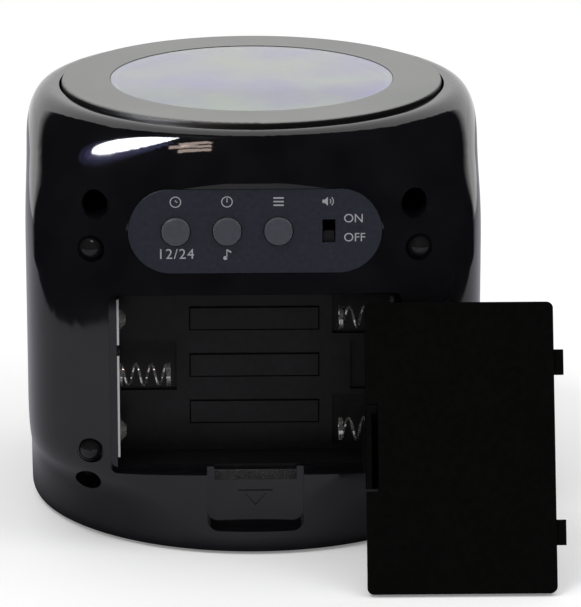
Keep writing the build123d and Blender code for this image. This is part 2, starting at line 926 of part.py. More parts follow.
def snooze_switch():
    """The switch under the ring's inner ledge, on the deck."""
    plunger_top = projector_top + projector_headroom - rest_gap
    body_top = plunger_top - snooze_plunger_height
    middle = Pos(window_radius, 0, (deck_top + body_top) / 2)
    body = middle * Box(snooze_switch_size, snooze_switch_size, body_top - deck_top)
    return body + disc(snooze_plunger_radius, body_top, plunger_top, window_radius, 0)


def projector_barrel():
    outer = lens_radius + barrel_wall
    barrel = disc(outer, projector_low, projector_top)
    barrel += disc(outer + barrel_flange, deck_top, deck_top + barrel_flange_thickness)
    barrel -= disc(lens_radius + projector_slip, projector_top - lens_thickness, projector_top + through)
    return barrel - disc(lens_radius - barrel_lip, projector_low - through, projector_top)


def projector_lens():
    low = projector_top - lens_thickness + projector_slip
    rim_top = projector_top - lens_crown
    return disc(lens_radius, low, rim_top) + round_crown(0, 0, rim_top, lens_radius, lens_crown)


def projector_slide():
    top = projector_low - rest_gap
    return Pos(0, 0, top - slide_thickness / 2) * Box(slide_size, slide_size, slide_thickness)


def projector_lamp_board():
    lamp_top = projector_low - slide_thickness - 2 * rest_gap
    board_top = lamp_top - lamp_height
    board = Box(lamp_board_size, lamp_board_size, board_thickness)
    return Pos(0, 0, board_top - board_thickness / 2) * board + disc(lamp_radius, board_top, lamp_top)


parts = {
    "front_shell": front_shell(),
    "rear_shell": rear_shell(),
    "front_window": front_window(),
    "display_frame": display_frame(),
    "display_glass": display_glass(),
    "display_backlight": display_backlight(),
    "contact_strips": contact_strips(),
    "main_board": main_board(),
    "board_screws": board_screws(),
    "main_chip": main_chip(),
    "control_panel": control_panel(),
    "hour_button": push_button(button_places[0]),
    "minute_button": push_button(button_places[1]),
    "mode_button": push_button(button_places[2]),
    "key_board": key_board(),
    "key_switches": key_switches(),
    "slide_switch": slide_switch(),
    "slide_knob": slide_knob(),
    "battery_tray": battery_tray(),
    "plate_top_left": contact_plate(1, (0,), 0),
    "plate_low_left": contact_plate(1, (1, 2), 2),
    "plate_top_right": contact_plate(-1, (0, 1), 1),
    "plate_low_right": contact_plate(-1, (2,)),
    "spring_top_row": contact_spring(-1, 0),
    "spring_middle_row": contact_spring(1, 1),
    "spring_low_row": contact_spring(-1, 2),
    "battery_door": door_stand() * battery_door(),
    "case_screws": case_screws(),
    "dome_screws": dome_screws(),
    "rubber_feet": rubber_feet(),
    "speaker_frame": speaker_frame(),
    "speaker_magnet": speaker_magnet(),
    "speaker_cone": speaker_cone(),
    "snooze_ring": snooze_ring(),
    "snooze_window": snooze_window(),
    "top_deck": top_deck(),
    "snooze_switch": snooze_switch(),
    "projector_barrel": projector_barrel(),
    "projector_lens": projector_lens(),
    "projector_slide": projector_slide(),
    "projector_lamp_board": projector_lamp_board(),
}

os.makedirs("parts", exist_ok=True)
for name, shape in parts.items():
    pieces = shape if isinstance(shape, list) else [shape]
    compound = Compound(children=[solid for piece in pieces for solid in piece.solids()])
    compound.label = name
    export_step(compound, f"parts/{name}.step")
    print(name, round(compound.volume, 1))
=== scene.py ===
# %% [markdown]
# # A projection alarm clock, seen from behind
# The clock is a glossy black rounded cube with its battery door off. Its solids come ready made from the
# frame, in metres, so this notebook only dresses them: it gives each piece its finish, adds the printed
# and moulded marks that are too fine for the solids, and sets up a small product studio round them.
#
# The clock stands on z = 0 with its display towards -y, so its back, which the camera sees, faces +y.
# Seen from behind, +x is on the left.

# %% Load the clock's solids
import json
import random
from math import cos, degrees, pi, radians, sin

import bpy
from mathutils import Matrix, Vector
from mathutils.interpolate import poly_3d_calc


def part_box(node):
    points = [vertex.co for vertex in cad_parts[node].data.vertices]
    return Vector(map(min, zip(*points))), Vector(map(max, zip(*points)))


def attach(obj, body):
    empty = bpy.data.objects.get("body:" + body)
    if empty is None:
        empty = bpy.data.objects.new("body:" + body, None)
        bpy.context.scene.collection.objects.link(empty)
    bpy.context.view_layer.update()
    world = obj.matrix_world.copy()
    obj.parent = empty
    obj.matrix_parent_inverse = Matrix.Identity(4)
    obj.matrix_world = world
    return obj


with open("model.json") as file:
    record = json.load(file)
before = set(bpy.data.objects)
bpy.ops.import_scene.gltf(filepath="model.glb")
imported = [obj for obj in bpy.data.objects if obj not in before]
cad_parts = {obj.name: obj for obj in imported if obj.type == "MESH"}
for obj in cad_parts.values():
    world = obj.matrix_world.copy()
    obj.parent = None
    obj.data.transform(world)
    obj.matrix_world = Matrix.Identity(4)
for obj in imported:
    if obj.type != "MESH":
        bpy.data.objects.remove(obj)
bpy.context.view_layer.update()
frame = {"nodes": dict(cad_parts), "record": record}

nodes = frame["nodes"]

# %% [markdown]
# ## The camera
# A long lens a little above the clock keeps its sides almost parallel. An orthographic camera would keep
# them quite parallel, but the slight narrowing is what makes a small thing look near. The sensor width is
# the long side of the picture, so a 249 mm lens sees about 8 degrees from top to bottom. The Standard
# view transform shows each colour as it is worked out, which suits white paper.

# %% Camera
camera_place = Vector((0.0107, 0.7809, 0.2660))
camera_yaw, camera_pitch = radians(-1.33), radians(16.37)
focal_mm, sensor_mm = 249.2, 36.0
nearest_seen, farthest_seen = 0.05, 20.0

lens = bpy.data.cameras.new("camera")
lens.lens, lens.sensor_width = focal_mm, sensor_mm
lens.clip_start, lens.clip_end = nearest_seen, farthest_seen
camera = bpy.data.objects.new("camera", lens)
camera.location = camera_place
camera.rotation_euler = (pi / 2 - camera_pitch, 0.0, pi + camera_yaw)
bpy.context.scene.collection.objects.link(camera)
bpy.context.scene.camera = camera
bpy.context.scene.view_settings.view_transform = "Standard"
print("camera stands", round(camera_place.length, 3), "m from the clock's foot")

# %% [markdown]
# ## The studio
# Black gloss shows whatever stands round it, so the studio matters as much as the finish. The studio's
# pieces are bare meshes made from their corners. A band is the most useful one: a few edges with as many
# points each, and a strip of faces from each edge to the next. Some pieces stand there only for the
# clock's reflections, so they are hidden from every ray but the glossy ones and light nothing.

# %% Meshes from corners
def new_piece(name, corners, faces):
    """A mesh object from its corners, in metres, linked to the scene."""
    mesh = bpy.data.meshes.new(name)
    mesh.from_pydata(corners, [], faces)
    piece = bpy.data.objects.new(name, mesh)
    bpy.context.scene.collection.objects.link(piece)
    return piece


def band(name, *edges):
    """Strips of faces from each edge to the next; all edges have as many points."""
    n = len(edges[0])
    corners = [corner for edge in edges for corner in edge]
    faces = [
        (row * n + i, row * n + i + 1, (row + 1) * n + i + 1, (row + 1) * n + i)
        for row in range(len(edges) - 1) for i in range(n - 1)
    ]
    return new_piece(name, corners, faces)


def only_in_reflections(piece):
    """Hides a studio piece from all but glossy rays."""
    piece.visible_camera = piece.visible_shadow = False
    piece.visible_diffuse = piece.visible_transmission = False


print("helpers for the studio's pieces are ready")

# %% [markdown]
# ### Floor and mat
# White paper lies under the clock and runs far past the picture's edges, so no horizon shows. A grey mat
# on it is seen only in reflections: it is the dim table that the lower back mirrors. A real mat would
# darken the paper too, and that is why this one is hidden from the camera.

# %% Floor and mat
def square(name, reach, height=0.0):
    """A level square round the clock."""
    corners = [(x * reach, y * reach, height) for x, y in ((-1, -1), (1, -1), (1, 1), (-1, 1))]
    return new_piece(name, corners, [(0, 1, 2, 3)])


floor_reach, mat_reach, mat_height = 4.0, 0.35, 0.0001
floor = square("floor", floor_reach)
mat = square("mat", mat_reach, mat_height)
only_in_reflections(mat)
print("floor reaches", floor_reach, "m and the mat", mat_reach, "m from the middle")

# %% [markdown]
# ### The black card
# Studios bend a black card round a glossy product, and the case looks black where it mirrors the card.
# The card's outline is the outline of that black patch: high in the middle, lower towards its ends. A
# real card's ends would be out of focus. Nothing is out of focus here, so they fade out instead: each
# point of the card carries a cover between nought, clear, and one, solid, and the card's shader reads it.

# %% Outline of the card
card_radius, card_steps = 0.20, 96
degrees_and_heights = [(0, 1.0), (45, 1.0), (76, 0.42), (90, 0.26), (107, 0.22), (129, 0.11)]
card_end, card_heel = radians(degrees_and_heights[-1][0]), radians(95)
foot_at_end, end_fade = 0.004, radians(8)
soft_start, soft_end, left_soft, right_soft = radians(40), radians(95), 0.02, 0.08


def card_head(turn):
    """The height of the card's head, from the outline."""
    turn = degrees(abs(turn))
    for (start, high), (end, low) in zip(degrees_and_heights, degrees_and_heights[1:]):
        if turn <= end:
            return high + (low - high) * (turn - start) / (end - start)
    return degrees_and_heights[-1][1]


def card_foot(turn):
    """The card stands on the floor and lifts a little at its ends."""
    return foot_at_end * max(0.0, (abs(turn) - card_heel) / (card_end - card_heel))


def card_waist(turn):
    """The height where the card begins to fade towards its head: sooner on the right than on the left."""
    share = min(1.0, max(0.0, (abs(turn) - soft_start) / (soft_end - soft_start)))
    return card_head(turn) * (1 - share * (left_soft if turn > 0 else right_soft))


print("card is", card_head(0.0), "m high in the middle and", card_head(card_end), "m at its ends")

# %% Bend the card
def card_edge(height_at, turns):
    """One of the card's edges, bent round the clock."""
    return [(card_radius * sin(a), card_radius * cos(a), height_at(a)) for a in turns]


def cover_points(piece, covers):
    """Notes on each point how solid the piece is there, from nought to one."""
    notes = piece.data.attributes.new("cover", "FLOAT", "POINT")
    notes.data.foreach_set("value", covers)


turns = [card_end * (2 * i / card_steps - 1) for i in range(card_steps + 1)]
body_cover = [min(1.0, (card_end - abs(a)) / end_fade) for a in turns]
head_cover = [0.0 if abs(a) > soft_start else 1.0 for a in turns]
card = band("card", card_edge(card_foot, turns), card_edge(card_waist, turns), card_edge(card_head, turns))
cover_points(card, body_cover + body_cover + head_cover)
only_in_reflections(card)
print("card bends", round(2 * degrees(card_end)), "degrees round the clock")

# %% [markdown]
# ### What the studio is made of
# Paper and card are matt. The paper also glows a little, but only as the camera or a mirror sees it: the
# white backdrop burns out as it does behind a real product, and no extra light falls on the clock. The
# same trick serves the sky later on, so it is a helper.

# %% Shader helpers
def new_finish(name, colour, roughness, metallic=0.0, **sockets):
    """A named material with its Principled shader set, ready for more nodes."""
    material = bpy.data.materials.new(name)
    material.use_nodes = True
    shader = material.node_tree.nodes["Principled BSDF"]
    shader.inputs["Base Color"].default_value = (*colour, 1)
    shader.inputs["Roughness"].default_value = roughness
    shader.inputs["Metallic"].default_value = metallic
    for socket, value in sockets.items():
        shader.inputs[socket.replace("_", " ")].default_value = value
    return material


def shader_of(material):
    return material.node_tree.nodes["Principled BSDF"]


def spread(tree, factor, start, end, low, high):
    """A number that goes from low to high while the factor goes from start to end."""
    node = tree.nodes.new("ShaderNodeMapRange")
    node.inputs["From Min"].default_value, node.inputs["From Max"].default_value = start, end
    node.inputs["To Min"].default_value, node.inputs["To Max"].default_value = low, high
    tree.links.new(factor, node.inputs["Value"])
    return node.outputs["Result"]


def seen_directly(tree):
    """One for camera, glossy and transmission rays, and nought for the rays that light the object."""
    path = tree.nodes.new("ShaderNodeLightPath")
    seen = path.outputs["Is Camera Ray"]
    for ray in ("Is Glossy Ray", "Is Transmission Ray"):
        either = tree.nodes.new("ShaderNodeMath")
        either.operation = "MAXIMUM"
        tree.links.new(seen, either.inputs[0])
        tree.links.new(path.outputs[ray], either.inputs[1])
        seen = either.outputs[0]
    return seen


print("helpers for shaders are ready")

# %% Paper
paper_white, paper_rough, paper_glow = (0.94, 0.94, 0.94), 0.9, 0.17
paper = new_finish(
    "studio_paper", paper_white, paper_rough, Specular_IOR_Level=0.0, Emission_Color=(1, 1, 1, 1),
)
glow_seen = spread(paper.node_tree, seen_directly(paper.node_tree), 0.0, 1.0, 0.0, paper_glow)
paper.node_tree.links.new(glow_seen, shader_of(paper).inputs["Emission Strength"])
floor.data.materials.append(paper)
print("paper reflects", paper_white[0], "and seems to glow by", paper_glow)

# %% [markdown]
# The card reads its cover from an attribute, which is a value kept on each point and blended over each
# face. The mat's colour carries a painted shadow: it gets darker towards its middle, where the clock
# stands and keeps the light off it; the distance from the middle drives the colour, so that the dark spot
# is round.

# %% Card
black, card_rough = (0.0, 0.0, 0.0), 1.0
card_black = new_finish("studio_card", black, card_rough, Specular_IOR_Level=0.0)
cover_notes = card_black.node_tree.nodes.new("ShaderNodeAttribute")
cover_notes.attribute_name = "cover"
card_black.node_tree.links.new(cover_notes.outputs["Fac"], shader_of(card_black).inputs["Alpha"])
card.data.materials.append(card_black)
print("card reads", cover_notes.attribute_name, "from its points")

# %% Mat
# The mat's dark middle is a painted shadow of the clock that stands on it.
mat_painted_shadow, mat_grey, mat_rough = (0.05, 0.05, 0.055), (0.42, 0.41, 0.45), 0.9
painted_shadow_reach, grey_reach = 0.0425, 0.0515
mat_finish = new_finish("studio_mat", mat_grey, mat_rough, Specular_IOR_Level=0.0)
tree = mat_finish.node_tree
here = tree.nodes.new("ShaderNodeTexCoord")
distance = tree.nodes.new("ShaderNodeVectorMath")
distance.operation = "LENGTH"
tree.links.new(here.outputs["Object"], distance.inputs[0])
shade = tree.nodes.new("ShaderNodeValToRGB")
shade.color_ramp.elements[0].color, shade.color_ramp.elements[1].color = (*mat_painted_shadow, 1), (*mat_grey, 1)
outward = spread(tree, distance.outputs["Value"], painted_shadow_reach, grey_reach, 0.0, 1.0)
tree.links.new(outward, shade.inputs["Fac"])
tree.links.new(shade.outputs["Color"], shader_of(mat_finish).inputs["Base Color"])
mat.data.materials.append(mat_finish)
print("the mat is dark for", painted_shadow_reach, "m round its middle and grey from", grey_reach, "m")

# %% [markdown]
# ## Light
# ### The sky
# The world is plain white. It could be a picture of a real studio, but a plain sky gives the same soft
# light from all sides and needs no file. It lights a little dimmer than it looks itself.

# %% World
sky_strength, backdrop_strength = 0.78, 1.0
world = bpy.data.worlds.new("studio_sky")
world.use_nodes = True
bpy.context.scene.world = world
background = world.node_tree.nodes["Background"]
background.inputs["Color"].default_value = (1, 1, 1, 1)
sky = world.node_tree
sky_seen = spread(sky, seen_directly(sky), 0.0, 1.0, sky_strength, backdrop_strength)
sky.links.new(sky_seen, background.inputs["Strength"])
print("the sky lights with", sky_strength, "and is seen as", backdrop_strength)

# %% [markdown]
# ### Softboxes
# One small softbox high on the left gives the shadows a direction, and a large weak one on the right
# keeps the other side from going flat. Area lights are the natural choice: their size is what makes a
# shadow soft.

# %% Softboxes
lit_point = Vector((0, 0, 0.04))


def softbox(name, place, size, watts):
    """An area light that looks at the clock."""
    light = bpy.data.lights.new(name, "AREA")
    light.shape = "RECTANGLE"
    light.size, light.size_y = size
    light.energy = watts
    lamp = bpy.data.objects.new(name, light)
    lamp.location = place
    lamp.rotation_euler = (lit_point - Vector(place)).to_track_quat("-Z", "Y").to_euler()
    bpy.context.scene.collection.objects.link(lamp)
    print(name, "gives", watts, "W from", place)


softbox("key_softbox", place=(0.40, 0.38, 0.95), size=(0.34, 0.16), watts=2.0)
softbox("fill_softbox", place=(-0.7, 0.4, 0.8), size=(0.5, 0.5), watts=1.0)

# %% [markdown]
# ### Lamps that the case mirrors
# The long white streak on the case's shoulder is a mirrored lamp, and the barred patch beside it a
# window. On a curved mirror such a lamp is hard to place by eye: its image bends, and one step too far
# tears it in two. So each is set out in the picture instead, as a shape in pixels. From each of its
# corners a ray goes from the camera to the case and bounces off, and the lamp's corner goes a little way
# along it. The bounce uses the smooth normal, blended from the face's corners, because the shader mirrors
# by that one too.

# %% What the case mirrors at a pixel
picture_width, picture_height = 581, 607
focal_pixels = lens.lens / lens.sensor_width * picture_height
case = nodes["rear_shell"]
case_mesh = case.data


def mirrored(pixel, reach):
    """The point at that reach along the ray that bounces off the case at a pixel."""
    across, down = pixel
    aim = Vector((across - picture_width / 2, picture_height / 2 - down, -focal_pixels)).normalized()
    ray = camera.rotation_euler.to_matrix() @ aim
    _, point, _, face = case.ray_cast(camera.location, ray)
    polygon = case_mesh.polygons[face]
    shares = poly_3d_calc([case_mesh.vertices[v].co for v in polygon.vertices], point)
    normal = Vector()
    for share, loop in zip(shares, polygon.loop_indices):
        normal += share * case_mesh.corner_normals[loop].vector
    return point + reach * ray.reflect(normal.normalized())


middle_pixel = (picture_width / 2, picture_height / 2)
print("the picture's middle lies at", [round(c, 4) for c in mirrored(middle_pixel, 0.0)])

# %% [markdown]
# A lamp is a flat area light that lies as well as it can in its four mirrored corners. It shines back at
# the case, and only reflections see it, so it lights nothing else. Its power follows from how bright its
# face is: a matt lamp's power is its brightness times pi times its area.

# %% Lamps from corners in pixels
def mirrored_lamp(name, corners, reach, colour, brightness, overlap=1.0):
    """An area light with its image's corners at four pixels: start high and low, then end high and low."""
    start_high, start_low, end_high, end_low = (mirrored(pixel, reach) for pixel in corners)
    middle = (start_high + start_low + end_high + end_low) / 4
    centre_pixel = [sum(values) / 4 for values in zip(*corners)]
    along = (end_high + end_low - start_high - start_low) / 2
    across = (start_high + end_high - start_low - end_low) / 2
    x_axis = along.normalized()
    across -= across.dot(x_axis) * x_axis
    y_axis = across.normalized()
    # An area light shines along its own -z, so its z has to point away from the case.
    if x_axis.cross(y_axis).dot(middle - mirrored(centre_pixel, 0.0)) < 0:
        y_axis = -y_axis
    z_axis = x_axis.cross(y_axis)

    light = bpy.data.lights.new(name, "AREA")
    light.shape = "RECTANGLE"
    light.size, light.size_y = along.length * overlap, across.length
    light.color = colour
    light.energy = brightness * pi * light.size * light.size_y
    lamp = bpy.data.objects.new(name, light)
    turn = Matrix((x_axis, y_axis, z_axis)).transposed().to_4x4()
    lamp.matrix_world = Matrix.Translation(middle) @ turn
    lamp.visible_camera = lamp.visible_diffuse = lamp.visible_transmission = False
    bpy.context.scene.collection.objects.link(lamp)


print("helper for mirrored lamps is ready")

# %% [markdown]
# The streak is a leaf: blunt where it starts, bent a little, and pointed where it ends. One flat lamp
# can't have that shape, so a row of narrow ones makes it. They are narrowest at the blunt end, where the
# outline turns fastest, and those of the streak are a bit wider than their share so that no gap shows.
# Two dim, bluish leaves round the streak are its halo.

# %% A leaf of lamps
leaf_bend, leaf_swell, leaf_tip = 0.75, 0.45, 0.15
leaf_crowding, leaf_reach = 1.6, 0.012


def leaf_column(line, half, share):
    """Top and bottom pixel of a leaf at a share of its length."""
    (start_x, start_y), (end_x, end_y) = line
    middle = start_y + (end_y - start_y) * share ** leaf_bend
    half_here = half * share ** leaf_swell * (1 - share) + leaf_tip
    across = start_x + (end_x - start_x) * share
    return (across, middle - half_here), (across, middle + half_here)


def leaf_of_lamps(name, line, half, lamps, colour, brightness, overlap=1.0):
    """A row of lamps that fills a leaf between two pixels."""
    shares = [(i / lamps) ** leaf_crowding for i in range(lamps + 1)]
    for i, (here, there) in enumerate(zip(shares, shares[1:])):
        corners = [*leaf_column(line, half, here), *leaf_column(line, half, there)]
        mirrored_lamp(f"{name}_{i:02}", corners, leaf_reach, colour, brightness, overlap)
    print(name, "has", lamps, "lamps")


# %% Streak and halo
streak_line, streak_half = ((92, 151), (178, 138)), 15.0
inner_line, inner_half = ((85, 154), (174, 143)), 20.0
outer_line, outer_half = ((79, 155), (168, 145)), 27.0
streak_colour, halo_colour = (0.93, 0.95, 1.0), (0.42, 0.42, 1.0)
streak_brightness, inner_brightness, outer_brightness = 20.0, 0.6, 0.35
streak_lamps, halo_lamps, streak_overlap = 34, 22, 1.3
leaf_of_lamps(
    "streak", streak_line, streak_half, streak_lamps, streak_colour, streak_brightness, streak_overlap,
)
leaf_of_lamps("inner_halo", inner_line, inner_half, halo_lamps, halo_colour, inner_brightness)
leaf_of_lamps("outer_halo", outer_line, outer_half, halo_lamps, halo_colour, outer_brightness)

# %% [markdown]
# The window is three long warm bars, a little tilted, with the dark of its frame between them. Each is
# thin enough to be one lamp.

# %% Barred window
top_bar = ((180, 145.4), (211.5, 142.4))
middle_bar = ((169, 147.6), (211.5, 146.2))
low_bar = ((178, 151.4), (211.0, 149.8))
bar_half, bar_reach, bar_colour, bar_brightness = 1.35, 0.03, (1.0, 0.80, 0.70), 5.0


def slanted_box(start, end, half):
    """Corners of a box round the line from start to end, in pixels."""
    line = Vector(end) - Vector(start)
    up = Vector((line.y, -line.x)).normalized() * half
    return [tuple(Vector(point) + side * up) for point in (start, end) for side in (1, -1)]


for i, line in enumerate((top_bar, middle_bar, low_bar)):
    mirrored_lamp(f"window_bar_{i}", slanted_box(*line, bar_half), bar_reach, bar_colour, bar_brightness)
    print("window bar", i, "from", line[0], "to", line[1])

# %% [markdown]
# ## Finishes
# Every finish is a Principled shader with its own procedural nodes, so nothing is a flat colour: a noise
# moves the colour between two near shades, a slower one moves the gloss, and moulded textures get a fine
# relief. An image could do the same, but a noise needs no unwrapping and stays sharp at any distance.
# Object coordinates are in metres, so a noise scale of 1000 makes specks about a millimetre across.

# %% Helpers that vary a finish
ramp_start, ramp_end = 0.3, 0.7


def object_noise(material, scale, detail=3.0):
    """Noise in the piece's own metres."""
    tree = material.node_tree
    place = tree.nodes.new("ShaderNodeTexCoord")
    noise = tree.nodes.new("ShaderNodeTexNoise")
    noise.inputs["Scale"].default_value = scale
    noise.inputs["Detail"].default_value = detail
    tree.links.new(place.outputs["Object"], noise.inputs["Vector"])
    return noise.outputs["Fac"]


def between(material, factor, socket, low, high):
    """Lets a noise move one of the shader's numbers between two values."""
    tree = material.node_tree
    moved = spread(tree, factor, ramp_start, ramp_end, low, high)
    tree.links.new(moved, shader_of(material).inputs[socket])


def mottle(material, factor, dark, light):
    """Lets a noise move the colour between two near shades."""
    tree = material.node_tree
    ramp = tree.nodes.new("ShaderNodeValToRGB")
    first, last = ramp.color_ramp.elements
    first.position, last.position = ramp_start, ramp_end
    first.color, last.color = (*dark, 1), (*light, 1)
    tree.links.new(factor, ramp.inputs["Fac"])
    tree.links.new(ramp.outputs["Color"], shader_of(material).inputs["Base Color"])


def relief(material, factor, height):
    """Turns a noise into a surface relief of that height in metres."""
    tree = material.node_tree
    bump = tree.nodes.new("ShaderNodeBump")
    bump.inputs["Strength"].default_value = 1.0
    bump.inputs["Distance"].default_value = height
    tree.links.new(factor, bump.inputs["Height"])
    tree.links.new(bump.outputs["Normal"], shader_of(material).inputs["Normal"])


print("noise moves a finish between", ramp_start, "and", ramp_end, "of its range")

# %% One recipe for all finishes
colour_share, gloss_share, relief_detail = 0.35, 0.06, 2.0
finishes = {}


def plastic(name, dark, light, rough, grain=1800, height=0.0, metallic=0.0, **sockets):
    """A moulded or painted finish: mottled colour, uneven gloss and, if it has one, a fine relief."""
    material = new_finish(name, light, rough[0], metallic, **sockets)
    mottle(material, object_noise(material, grain * colour_share), dark, light)
    between(material, object_noise(material, grain * gloss_share), "Roughness", *rough)
    if height:
        relief(material, object_noise(material, grain, relief_detail), height)
    return material


def add_finish(name, **details):
    """Makes a finish and keeps it under its material slot's name."""
    finishes[name] = plastic(name, **details)
    print(name, "roughness", details["rough"])


# %% [markdown]
# ### Case
# The case is moulded in black ABS against polished steel, so it is as smooth as the mould: almost no
# texture and a strong, clean reflection. A coat layer could add that gloss too. One specular level above
# the usual half does it with less, and stands for the wax of a new product.

# %% Case
add_finish(
    "case_gloss", dark=(0.004, 0.004, 0.005), light=(0.006, 0.006, 0.007), rough=(0.04, 0.08), grain=400,
    Specular_IOR_Level=0.75,
)

# %% [markdown]
# ### Windows
# The front window is smoked acrylic, cut from sheet, so the grey display behind it shows only faintly.
# The window in the snooze button is clear and domed. It is milky inside, so it lets only part of the
# light through, and has a faint rainbow, which a thin film on its surface gives.

# %% Windows
film_nanometres, film_index = 420.0, 1.38
add_finish(
    "window_smoke", dark=(0.34, 0.34, 0.36), light=(0.38, 0.38, 0.40), rough=(0.02, 0.04),
    Transmission_Weight=0.9,
)
add_finish(
    "window_clear", dark=(0.75, 0.75, 0.97), light=(0.88, 0.98, 0.76), rough=(0.03, 0.06), grain=170,
    Transmission_Weight=0.75, Thin_Film_Thickness=film_nanometres, Thin_Film_IOR=film_index,
)

# %% [markdown]
# ### Snooze ring
# The ring is painted silver. Its colour carries a painted shade: it falls almost to black where a face
# looks sideways, so the shaded gap round the button reads as a black line. A second material on the
# skirt's faces would end in a hard edge. The face's own direction gives a soft one: the normal in the
# object's own axes says how far a face looks up.

# %% Ring
add_finish(
    "ring_silver", dark=(0.210, 0.218, 0.210), light=(0.248, 0.246, 0.240), rough=(0.42, 0.50), grain=140,
)
# Painted shade on the ring's skirt: the colour falls to this share where a face looks sideways.
shade_share, full_shade_level, no_shade_level = 0.03, 0.45, 0.85


def shade_sides(material):
    """Darkens the colour where a face looks sideways: painted shade for the gap round the button."""
    tree = material.node_tree
    colour = shader_of(material).inputs["Base Color"]
    painted = colour.links[0].from_socket
    place = tree.nodes.new("ShaderNodeTexCoord")
    parts = tree.nodes.new("ShaderNodeSeparateXYZ")
    tree.links.new(place.outputs["Normal"], parts.inputs["Vector"])
    dim = tree.nodes.new("ShaderNodeVectorMath")
    dim.operation = "SCALE"
    tree.links.new(painted, dim.inputs["Vector"])
    upward = spread(tree, parts.outputs["Z"], full_shade_level, no_shade_level, shade_share, 1.0)
    tree.links.new(upward, dim.inputs["Scale"])
    tree.links.new(dim.outputs["Vector"], colour)


shade_sides(finishes["ring_silver"])
print("paint thins out below a level of", no_shade_level, "and ends at", full_shade_level)

# %% [markdown]
# ### Control panel and keys
# The panel is a blue-grey plate with a fine spark-eroded texture, which scatters light and hides
# scratches. The three keys are a shade lighter. A little sheen lifts their rims, as the soft-touch
# varnish on such keys does. The relief is a bump of a few micrometres: as geometry it would cost millions
# of faces and look the same.

# %% Panel, keys and switch knob
add_finish(
    "panel_slate", dark=(0.016, 0.018, 0.028), light=(0.021, 0.024, 0.037), rough=(0.50, 0.58), grain=3200,
    height=9e-6, Specular_IOR_Level=0.25,
)
add_finish(
    "key_grey", dark=(0.038, 0.042, 0.056), light=(0.046, 0.051, 0.068), rough=(0.48, 0.60), grain=2600,
    height=6e-6, Specular_IOR_Level=0.35, Sheen_Weight=0.35,
)
add_finish(
    "knob_black", dark=(0.006, 0.006, 0.008), light=(0.010, 0.010, 0.012), rough=(0.35, 0.5), grain=2400,
    height=5e-6, Specular_IOR_Level=0.3,
)

# %% [markdown]
# ### Battery tray and door
# The tray is moulded in plain black plastic. The door is a deeper black with a matt texture, so it stays
# darker than the glossy case beside it: its roughness is high and its specular level low.

# %% Tray and door
add_finish(
    "tray_black", dark=(0.0065, 0.0065, 0.0075), light=(0.010, 0.010, 0.011), rough=(0.35, 0.45),
    grain=2600, height=6e-6, Specular_IOR_Level=0.3,
)
add_finish(
    "door_black", dark=(0.0014, 0.0014, 0.001), light=(0.0022, 0.0022, 0.0018), rough=(0.55, 0.7),
    grain=2600, height=8e-6, Specular_IOR_Level=0.08,
)

# %% [markdown]
# ### Metals
# Springs and plates are nickel-plated steel: bright, nearly smooth, a little yellow. The domed screws have
# a black oxide skin, polished on top; an oxide is no metal, so their finish is only partly metallic. The
# long screws and the board's screws are plain zinc-plated steel.

# %% Metals
add_finish(
    "contact_nickel", dark=(0.76, 0.75, 0.72), light=(0.88, 0.87, 0.84), rough=(0.08, 0.15), grain=900,
    metallic=0.9,
)
add_finish(
    "dome_black", dark=(0.008, 0.008, 0.009), light=(0.016, 0.016, 0.017), rough=(0.05, 0.09), grain=1200,
    metallic=0.3,
)
add_finish(
    "screw_steel", dark=(0.36, 0.36, 0.37), light=(0.48, 0.48, 0.49), rough=(0.25, 0.4), grain=1500,
    metallic=1.0,
)

# %% [markdown]
# ### Feet and boards
# The feet are soft black rubber, which has hardly any gloss. The circuit boards are green lacquer over
# glass fibre, with a chip under a blob of black epoxy.

# %% Feet, boards and chip
add_finish(
    "foot_rubber", dark=(0.014, 0.014, 0.014), light=(0.022, 0.022, 0.022), rough=(0.75, 0.9), grain=2200,
    height=8e-6,
)
add_finish(
    "board_green", dark=(0.012, 0.070, 0.030), light=(0.020, 0.095, 0.042), rough=(0.28, 0.4), grain=900,
)
add_finish(
    "chip_epoxy", dark=(0.008, 0.008, 0.008), light=(0.014, 0.014, 0.014), rough=(0.15, 0.3), grain=900,
)

# %% [markdown]
# ### Display
# The display is grey-green glass in a grey frame, joined to its board by two pink rubber strips, with a
# white block behind it that spreads the backlight. It is blank, as it is without cells.

# %% Display
add_finish(
    "frame_grey", dark=(0.20, 0.20, 0.21), light=(0.26, 0.26, 0.27), rough=(0.45, 0.6), grain=2000,
    height=4e-6,
)
add_finish(
    "display_glass", dark=(0.20, 0.23, 0.19), light=(0.24, 0.27, 0.22), rough=(0.08, 0.12), grain=600,
)
add_finish(
    "light_white", dark=(0.78, 0.79, 0.78), light=(0.84, 0.85, 0.84), rough=(0.35, 0.5), grain=1200,
)
add_finish(
    "strip_rubber", dark=(0.45, 0.16, 0.14), light=(0.55, 0.20, 0.17), rough=(0.6, 0.75), grain=1500,
)

# %% [markdown]
# ### Speaker and projector
# The speaker has a paper cone and a grey ferrite magnet. The projector's lens is clear acrylic, which
# needs only transmission and a very low roughness.

# %% Speaker and projector
add_finish(
    "magnet_grey", dark=(0.10, 0.10, 0.10), light=(0.14, 0.14, 0.14), rough=(0.4, 0.55), grain=1500,
    height=4e-6, metallic=0.6,
)
add_finish(
    "cone_paper", dark=(0.020, 0.019, 0.018), light=(0.035, 0.034, 0.032), rough=(0.8, 0.9), grain=1800,
    height=1.5e-5,
)
add_finish(
    "lens_clear", dark=(0.93, 0.95, 0.97), light=(0.96, 0.97, 0.98), rough=(0.02, 0.04), grain=600,
    Transmission_Weight=0.95,
)

# %% [markdown]
# ### Dress the solids
# The record names a material slot for each solid, and the finishes carry the slots' names, so one loop
# dresses the whole clock.

# %% Dress each solid in the finish that its slot names
for subpart in frame["record"]["subparts"]:
    solid = nodes[subpart["node"]]
    solid.data.materials.clear()
    solid.data.materials.append(finishes[subpart["material_slot"]])

